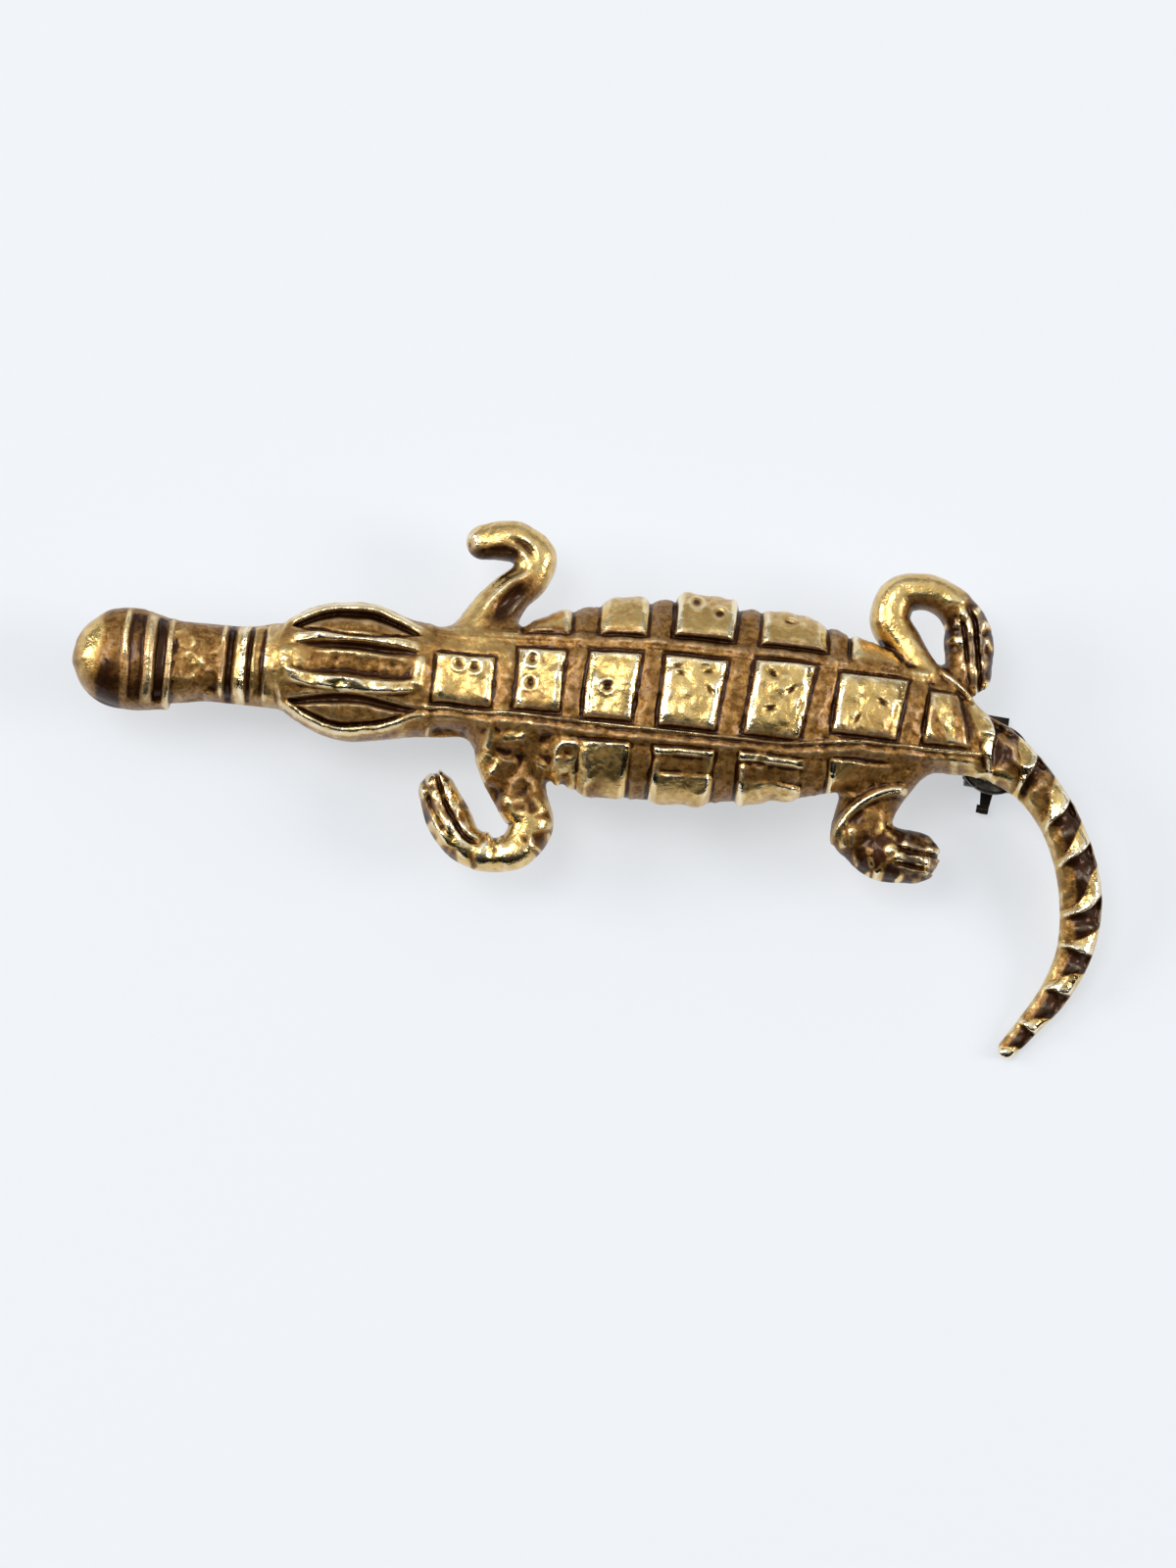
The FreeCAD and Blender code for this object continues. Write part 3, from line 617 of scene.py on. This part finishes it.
def add_right_foreleg():
    """A smooth S, a crest along its bend, a hollow inside it and a dent in the hand, painted shade in the
    bend and under the hand.
    """
    leg = Limb(RIGHT_FORELEG, fullness=2.5)
    crest = bump(leg.side - 0.55 + 0.12 * (leg.s - 3), 0.45) * bump(leg.s - 4.2, 2.8)
    inner_bend = bump(leg.side + 0.35, 0.6) * bump(leg.s - 3.6, 2.0)
    palm = bump(leg.side - 0.2, 0.4) * bump(leg.s - 8.0, 1.6)
    dent = bump(np.hypot(leg.x + 9.4, leg.y - 14.3), 0.5)
    leg.relief += 0.05 * leg.coarse + 0.015 * leg.medium + 0.05 * leg.facets
    leg.relief += 0.30 * crest - 0.38 * inner_bend - 0.26 * palm - 0.25 * dent
    # painted shade: brown pushed to soot inside the bend and below the hand
    dark = 2.0 * bump(leg.side + 0.5, 1.3) * bump(leg.s - 3.2, 3.0)
    dark += 1.8 * bump(leg.side - 0.95, 0.7) * ramp(leg.s, 7.4, 8.4)
    leg.add(0.8, np.clip(0.20 + dark + 0.12 * leg.medium, 0, 1.6))


def add_left_foreleg():
    """A creased brown upper arm, a polished forearm with stains and a hand with three fingers."""
    leg = Limb(LEFT_FORELEG, fullness=2.4)
    root = 1 - ramp(leg.s, 3.2, 5.6)
    leg.relief += 0.06 * leg.coarse + 0.02 * leg.medium + (0.07 + 0.10 * root) * leg.facets
    leg.relief += root * (0.24 * leg.crumple + 0.05 * leg.chips)
    leg.relief += toe_relief(leg, 10.6, (-0.25,), 0.42) + toe_relief(leg, 12.2, (0.62,), 0.26)
    leg.relief -= 0.20 * bump(leg.s - 9.6, 0.5) - 0.16 * bump(leg.s - 10.5, 0.6)
    stains = 1.2 * ramp(-leg.facets - 0.3 * leg.coarse, 0.05, 0.5) * (1 - root)
    stains += root * (0.80 - 0.65 * ramp(leg.crumple, -0.1, 0.4))
    leg.add(0.8, np.clip(0.14 + stains, 0, 1.5))


def add_left_hind_leg():
    """A brown thigh with one polished crease round the knee, and a dark foot with bright glints."""
    thigh = Limb(LEFT_THIGH, fullness=2.2)
    crease = bump(np.hypot(thigh.x - 20.8, thigh.y + 4.3) - 4.75, 0.50) * (1 - ramp(thigh.x, 20.4, 21.2))
    thigh.relief += 0.40 * crease + 0.04 * thigh.coarse + 0.10 * thigh.facets * (1 - crease)
    thigh.add(0.8, np.clip(1.0 - 1.1 * crease, 0, 1))
    foot = Limb(LEFT_HIND_FOOT, fullness=2.3)
    foot.relief += 0.08 * foot.coarse + 0.03 * foot.medium + 0.14 * foot.facets + 0.05 * foot.chips
    foot.relief += toe_relief(foot, 2.4, (-0.6, 0.45))
    tips = ramp(foot.s, 3.6, 4.6) * ramp(foot.chips, -0.1, 0.15)
    glints = ramp(foot.facets + 0.5 * foot.chips, 0.0, 0.3)
    foot.add(0.4, np.clip(1.60 - 1.2 * tips - 1.8 * glints, -0.3, 1.7))


def add_right_hind_leg():
    """A leg curled round a hole, with three toes, and the web that joins it to the root of the tail."""
    leg = Limb(RIGHT_HIND_LEG, fullness=2.5)
    toes = ramp(leg.s, 9.2, 11.0)
    leg.relief += 0.05 * leg.coarse + 0.015 * leg.medium
    leg.relief += (0.05 + 0.12 * toes) * leg.facets + 0.05 * toes * leg.chips
    leg.relief += toe_relief(leg, 10.4, (-0.5, 0.3), 0.42)
    hole_side = 0.9 * ramp(-leg.side / leg.half, 0.2, 0.8) * (1 - toes)
    shards = ramp(leg.facets + 0.5 * leg.chips, -0.05, 0.25)
    leg.add(0.45, np.clip(0.16 + hole_side + toes * (1.4 - 1.5 * shards), -0.2, 1.6))
    web = Limb(HIND_WEB, fullness=2.1)
    from_knee_x, from_knee_y = web.x - 18.4, web.y - 11.6
    along = from_knee_x * 0.805 - from_knee_y * 0.593
    across = from_knee_x * 0.593 + from_knee_y * 0.805
    web.relief += 0.06 * web.coarse + 0.03 * web.medium + 0.06 * web.facets
    web.relief += 0.3 * bump(across, 0.3) * ramp(along, 0, 1)
    web.add(0.7, 0.85 - 0.8 * bump(across, 0.4) * ramp(along, 0, 1))


# ---- from field to mesh --------------------------------------------------------------------------
def blurred(values, sigma):
    """Two box averages along each axis, which spread the values by about sigma millimetres."""
    reach = max(1, int(round(sigma / VOXEL)))
    width = 2 * reach + 1
    for axis in range(3):
        margin = [(0, 0)] * 3
        ahead = [slice(None)] * 3
        behind = [slice(None)] * 3
        margin[axis] = (reach + 1, reach)
        ahead[axis] = slice(width, None)
        behind[axis] = slice(0, -width)
        for _ in range(2):
            total = np.cumsum(np.pad(values, margin, "edge"), axis=axis, dtype=np.float64)
            values = ((total[tuple(ahead)] - total[tuple(behind)]) / width).astype(np.float32)
    return values


def sampled(values, points):
    """Values of a grid at points given in grid steps."""
    base = np.clip(np.floor(points).astype(int), 0, np.array(values.shape) - 2)
    t = points - base
    out = np.zeros(len(points), np.float32)
    dims = values.ndim
    for corner in range(2**dims):
        bits = [(corner >> d) & 1 for d in range(dims)]
        weight = np.prod([t[:, d] if b else 1 - t[:, d] for d, b in enumerate(bits)], axis=0)
        out += weight * values[tuple(base[:, d] + b for d, b in enumerate(bits))]
    return out


def figure_mesh():
    """The surface of the field. Its points keep how raised, how swollen and how brown they are."""
    grid = openvdb.FloatGrid(BAND)
    grid.copyFromArray(np.clip(field, -BAND, BAND), ijk=(0, 0, 0), tolerance=0.0)
    points, triangles, quads = grid.convertToPolygons(isovalue=0.0, adaptivity=0.0)
    mesh = bpy.data.meshes.new("alligator_figure")
    faces = [tuple(int(i) for i in face) for face in (*quads, *triangles)]
    mesh.from_pydata(((points * VOXEL + low) * MM).tolist(), [], faces)
    mesh.validate()
    mesh.polygons.foreach_set("use_smooth", np.ones(len(mesh.polygons), bool))
    normals = np.empty(3 * len(points), np.float32)
    mesh.vertices.foreach_get("normal", normals)
    underside = ramp(-normals[2::3], 0.1, 0.6)
    back_brown = 0.55 + 0.25 * sampled(coarse, points[:, :2])
    front_brown = sampled(patina_and_painted_light / patina_share, points[:, :2])
    near = np.clip(field, -FEATURE_DEPTH, FEATURE_DEPTH)
    measures = {
        "edge": sampled(blurred(near, EDGE_BLUR), points),
        "swell": sampled(blurred(near, SWELL_BLUR), points),
        "brown": front_brown * (1 - underside) + underside * back_brown,
    }
    for name, values in measures.items():
        attribute = mesh.attributes.new(name, "FLOAT", "POINT")
        attribute.data.foreach_set("value", values.astype(np.float32))
    mesh.update()
    return mesh


add_nose()
add_snout()
add_skull()
add_body()
add_right_foreleg()
add_left_foreleg()
add_left_hind_leg()
add_right_hind_leg()
add_tail()
figure = bpy.data.objects.new("alligator_figure", figure_mesh())
bpy.context.scene.collection.objects.link(figure)


# ---- materials -----------------------------------------------------------------------------------
class Nodes:
    """A short way to write the nodes of a material or of the world."""

    def __init__(self, owner):
        self.owner = owner
        self.owner.use_nodes = True
        self.tree = self.owner.node_tree

    def new(self, kind, **values):
        """A node; values names its settings, or its sockets with _ for a space."""
        node = self.tree.nodes.new(kind)
        for key, value in values.items():
            if hasattr(node, key):
                setattr(node, key, value)
            else:
                node.inputs[key.replace("_", " ")].default_value = value
        return node

    def link(self, source, target):
        self.tree.links.new(source, target)

    def shade(self, **values):
        """Sets the sockets of the material's shader, or links them to another node's output."""
        for key, value in values.items():
            socket = self.tree.nodes["Principled BSDF"].inputs[key.replace("_", " ")]
            if isinstance(value, bpy.types.NodeSocket):
                self.link(value, socket)
            else:
                socket.default_value = value

    def math(self, operation, a, b):
        node = self.new("ShaderNodeMath", operation=operation)
        for socket, value in zip(node.inputs, (a, b)):
            if isinstance(value, (int, float)):
                socket.default_value = value
            else:
                self.link(value, socket)
        return node.outputs[0]

    def add(self, a, b):
        return self.math("ADD", a, b)

    def times(self, a, b):
        return self.math("MULTIPLY", a, b)

    def around_zero(self, noise, amount):
        """The noise, moved to lie round 0 and scaled by amount."""
        return self.times(self.math("SUBTRACT", noise, 0.5), amount)

    def rescale(self, value, start, end, out_start=0.0, out_end=1.0):
        """Smoothly from out_start, where the value is start, to out_end, where it is end."""
        node = self.new("ShaderNodeMapRange", interpolation_type="SMOOTHSTEP")
        self.link(value, node.inputs[0])
        for i, limit in enumerate((start, end, out_start, out_end)):
            node.inputs[i + 1].default_value = limit
        return node.outputs[0]

    def mix(self, share, a, b):
        """Colour a where share is 0 and b where it is 1."""
        node = self.new("ShaderNodeMix", data_type="RGBA")
        self.link(share, node.inputs[0])
        for i, colour in ((6, a), (7, b)):
            if isinstance(colour, tuple):
                node.inputs[i].default_value = (*colour, 1)
            else:
                self.link(colour, node.inputs[i])
        return node.outputs[2]

    def mix_shaders(self, share, a, b, output):
        """Shader a where share is 0 and b where it is 1, as what the output node shows."""
        node = self.new("ShaderNodeMixShader")
        for socket, source in zip(node.inputs, (share, a, b)):
            self.link(source, socket)
        self.link(node.outputs[0], self.tree.nodes[output].inputs["Surface"])

    def noise(self, scale, detail=3.0, rough=0.55):
        node = self.new("ShaderNodeTexNoise", Scale=scale, Detail=detail, Roughness=rough)
        self.link(self.new("ShaderNodeTexCoord").outputs["Object"], node.inputs["Vector"])
        return node.outputs["Fac"]

    def attribute(self, name):
        return self.new("ShaderNodeAttribute", attribute_name=name).outputs["Fac"]

    def bump(self, height, distance, strength, before=None):
        """A normal that makes heights up to distance metres look raised."""
        node = self.new("ShaderNodeBump", Strength=strength, Distance=distance)
        self.link(height, node.inputs["Height"])
        if before is not None:
            self.link(before, node.inputs["Normal"])
        return node.outputs["Normal"]


def aged_brass():
    """Rubbed pale on the edges, also as painted highlight, gold on the high places, crusted brown lower,
    sooty in the hollows.
    """
    deep_gold, pale_gold = (0.58, 0.37, 0.115), (0.80, 0.56, 0.21)
    dark_crust, pale_crust = (0.15, 0.060, 0.009), (0.38, 0.20, 0.055)
    # the rubbed colour is near white: wear on the edges that also serves as a painted highlight
    soot_and_painted_shade, rubbed_and_highlight = (0.040, 0.013, 0.003), (0.97, 0.86, 0.62)
    n = Nodes(bpy.data.materials.new("aged_cast_brass"))
    blotch = n.noise(800, 4, 0.6)
    grain = n.noise(2600, 3, 0.6)
    speck = n.noise(6500, 2, 0.5)
    edge, swell, brown = (n.attribute(name) for name in ("edge", "swell", "brown"))
    hollow_part = n.rescale(edge, -0.005, -0.075)
    deep_part = n.rescale(swell, -0.02, -0.16)
    worn_and_highlight_part = n.rescale(edge, 0.015, 0.07)
    # the brown attribute holds painted shade and painted highlight besides patina, and they pass on from
    # here
    dirt_and_painted_light = n.add(brown, n.times(hollow_part, 0.75))
    dirt_and_painted_light = n.add(dirt_and_painted_light, n.around_zero(blotch, 0.9))
    dirt_and_painted_light = n.add(dirt_and_painted_light, n.around_zero(grain, 1.1))
    rubbed_off = n.times(worn_and_highlight_part, n.rescale(brown, 0.3, 0.8, 0.7, 0.12))
    dirt_and_painted_light = n.math("SUBTRACT", dirt_and_painted_light, rubbed_off)
    tarnish_and_shade = n.rescale(dirt_and_painted_light, 0.18, 0.80)
    gold = n.mix(n.rescale(blotch, 0.35, 0.65), deep_gold, pale_gold)
    crust = n.mix(n.rescale(grain, 0.36, 0.64), dark_crust, pale_crust)
    # soot in the hollows, and painted shade wherever the brown runs very high
    dark = n.times(hollow_part, n.add(n.times(deep_part, 0.55), 0.55))
    dark = n.math("MAXIMUM", n.rescale(dark, 0.1, 0.8), n.rescale(dirt_and_painted_light, 0.95, 1.55))
    # share of the near-white rubbed colour on worn edges: wear and painted highlight
    bare = n.times(worn_and_highlight_part, n.rescale(n.add(blotch, brown), 0.5, 1.3, 0.8, 0.12))
    colour = n.mix(bare, n.mix(dark, n.mix(tarnish_and_shade, gold, crust), soot_and_painted_shade), rubbed_and_highlight)
    roughness = n.add(n.rescale(brown, 0.05, 0.32, 0.10, 0.27), n.rescale(tarnish_and_shade, 0.0, 1.0, 0.0, 0.16))
    roughness = n.add(roughness, n.times(speck, 0.10))
    n.shade(Base_Color=colour, Metallic=n.rescale(tarnish_and_shade, 0.0, 1.0, 1.0, 0.80))
    n.shade(Roughness=n.math("SUBTRACT", roughness, n.times(worn_and_highlight_part, 0.06)))
    n.shade(Specular_IOR_Level=0.1, Coat_Weight=0.25, Coat_Roughness=0.08)
    n.shade(Normal=n.bump(speck, 0.00003, 0.6, n.bump(grain, 0.00008, 0.55)))
    return n.owner


def blackened_brass():
    """Black with brown clouds, and brass showing where it is worn through."""
    black, brown, brass = (0.010, 0.008, 0.006), (0.035, 0.026, 0.017), (0.26, 0.18, 0.08)
    n = Nodes(bpy.data.materials.new("darkened_findings"))
    blotch = n.noise(1100, 4, 0.6)
    colour = n.mix(n.rescale(n.noise(500), 0.35, 0.65), black, brown)
    n.shade(Base_Color=n.mix(n.rescale(blotch, 0.64, 0.78), colour, brass), Metallic=0.85)
    n.shade(Roughness=n.rescale(blotch, 0.3, 0.7, 0.52, 0.34))
    n.shade(Normal=n.bump(n.noise(3800, 3), 0.00003, 0.5))
    return n.owner


def old_solder():
    """Dull grey, cloudy and lumpy."""
    dark_grey, pale_grey = (0.030, 0.027, 0.023), (0.11, 0.10, 0.085)
    n = Nodes(bpy.data.materials.new("solder"))
    blotch = n.noise(1500, 3)
    n.shade(Base_Color=n.mix(n.rescale(blotch, 0.35, 0.65), dark_grey, pale_grey), Metallic=0.8)
    n.shade(Roughness=n.rescale(blotch, 0.3, 0.7, 0.6, 0.4))
    n.shade(Normal=n.bump(n.noise(2500, 3), 0.00006, 0.7))
    return n.owner


def pin_steel():
    """Bright wire with faint clouds and a few spots of rust."""
    grey, pale, rust = (0.46, 0.44, 0.40), (0.60, 0.585, 0.55), (0.20, 0.14, 0.09)
    n = Nodes(bpy.data.materials.new("steel_pin"))
    cloud = n.noise(700, 3)
    spots = n.rescale(n.noise(2400, 3), 0.62, 0.72)
    n.shade(Base_Color=n.mix(spots, n.mix(n.rescale(cloud, 0.35, 0.65), grey, pale), rust), Metallic=1.0)
    n.shade(Roughness=n.rescale(cloud, 0.3, 0.7, 0.24, 0.38))
    n.shade(Normal=n.bump(n.noise(5200, 2), 0.00002, 0.4))
    return n.owner


def paper():
    """Plain white paper that glows a little, and is clear when seen from below."""
    n = Nodes(bpy.data.materials.new("backing_paper"))
    n.shade(Base_Color=(0.30, 0.31, 0.325, 1), Roughness=0.9)
    n.shade(Emission_Color=(0.93, 0.96, 1.0, 1), Emission_Strength=0.545)
    n.shade(Normal=n.bump(n.noise(500, 4), 0.00008, 0.25))
    below = n.new("ShaderNodeNewGeometry").outputs["Backfacing"]
    clear = n.new("ShaderNodeBsdfTransparent").outputs[0]
    n.mix_shaders(below, n.tree.nodes["Principled BSDF"].outputs[0], clear, "Material Output")
    return n.owner


figure.data.materials.append(aged_brass())
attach(figure, "brooch")
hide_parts("alligator_casting")

FINISHES = {"darkened_findings": blackened_brass(), "solder": old_solder(), "steel_pin": pin_steel()}
for part in frame["record"]["subparts"]:
    node = frame["nodes"][part["node"]]
    finish = FINISHES.get(part["material_slot"])
    if finish is None:
        continue
    node.data.materials.clear()
    node.data.materials.append(finish)
    edges = node.modifiers.new("soft_edges", "BEVEL")
    edges.width = EDGE_ROUNDING
    edges.segments = 2
    edges.limit_method = "ANGLE"
    edges.angle_limit = ROUNDED_ABOVE
    for face in node.data.polygons:
        face.use_smooth = True
    split = node.modifiers.new("crisp_edges", "EDGE_SPLIT")
    split.split_angle = CRISP_ABOVE


# ---- floor, light and camera ---------------------------------------------------------------------
def add_floor():
    half_size = 1.2
    corners = [(x * half_size, y * half_size, 0) for x, y in ((-1, -1), (1, -1), (1, 1), (-1, 1))]
    mesh = bpy.data.meshes.new("paper")
    mesh.from_pydata(corners, [], [(0, 1, 2, 3)])
    mesh.materials.append(paper())
    floor = bpy.data.objects.new("paper", mesh)
    bpy.context.scene.collection.objects.link(floor)


def add_softbox(name, place, size, power, colour=(1, 1, 1)):
    """A rectangular lamp that faces the origin."""
    lamp = bpy.data.lights.new(name, "AREA")
    lamp.shape = "RECTANGLE"
    lamp.size, lamp.size_y = size
    lamp.energy = power
    lamp.color = colour
    box = bpy.data.objects.new(name, lamp)
    box.location = place
    box.rotation_euler = (-Vector(place)).to_track_quat("-Z", "Y").to_euler()
    bpy.context.scene.collection.objects.link(box)


def add_sky():
    """A dim room with a pale ceiling, and a pale backdrop behind the paper."""
    n = Nodes(bpy.data.worlds.new("room"))
    direction = n.new("ShaderNodeSeparateXYZ")
    n.link(n.new("ShaderNodeTexCoord").outputs["Generated"], direction.inputs[0])
    ceiling_glow = n.rescale(direction.outputs["Z"], 0.30, 0.90, 0.03, 0.78)
    south_dimmer = n.rescale(direction.outputs["Y"], -0.50, 0.05, 0.10, 1.0)
    north_wall = n.rescale(direction.outputs["Y"], 0.0, 0.8, 0.0, 0.40)
    room = n.tree.nodes["Background"]
    room.inputs["Color"].default_value = (0.93, 0.97, 1.0, 1)
    n.link(n.add(n.times(ceiling_glow, south_dimmer), north_wall), room.inputs["Strength"])
    backdrop = n.new("ShaderNodeBackground", Color=(0.87, 0.90, 0.94, 1))
    seen = n.new("ShaderNodeLightPath").outputs["Is Camera Ray"]
    n.mix_shaders(seen, room.outputs[0], backdrop.outputs[0], "World Output")
    bpy.context.scene.world = n.owner


def add_camera():
    """Almost straight above, from the animal's left, with the spine turned a little in the picture."""
    distance = 0.350
    elevation = math.radians(83)
    roll = math.radians(5.28)
    shift_x, shift_y = -0.00005, -0.0002
    middle = (cad_low + cad_high) / 2
    aim = Vector((middle.x + shift_x, middle.y + shift_y, 0))
    back = Vector((0, -math.cos(elevation), math.sin(elevation)))
    right = Vector((1, 0, 0))
    up = back.cross(right)
    turned_right = right * math.cos(roll) + up * math.sin(roll)
    turned_up = up * math.cos(roll) - right * math.sin(roll)
    lens = bpy.data.cameras.new("camera")
    lens.sensor_width = 36
    lens.lens = 119.9
    lens.clip_start = 0.01
    camera = bpy.data.objects.new("camera", lens)
    turn = Matrix((turned_right, turned_up, back)).transposed().to_4x4()
    camera.matrix_world = Matrix.Translation(aim + back * distance) @ turn
    bpy.context.scene.collection.objects.link(camera)
    bpy.context.scene.camera = camera


add_floor()
add_softbox("window", (-0.32, 0.15, 0.97), (0.36, 0.36), 3.1, (1.0, 0.985, 0.96))
add_softbox("left_panel", (-0.85, 0.10, 0.48), (0.46, 0.46), 5.2)
add_softbox("right_panel", (0.85, 0.04, 0.52), (0.38, 0.40), 4.8)
add_sky()
add_camera()
bpy.context.scene.view_settings.view_transform = "Standard"
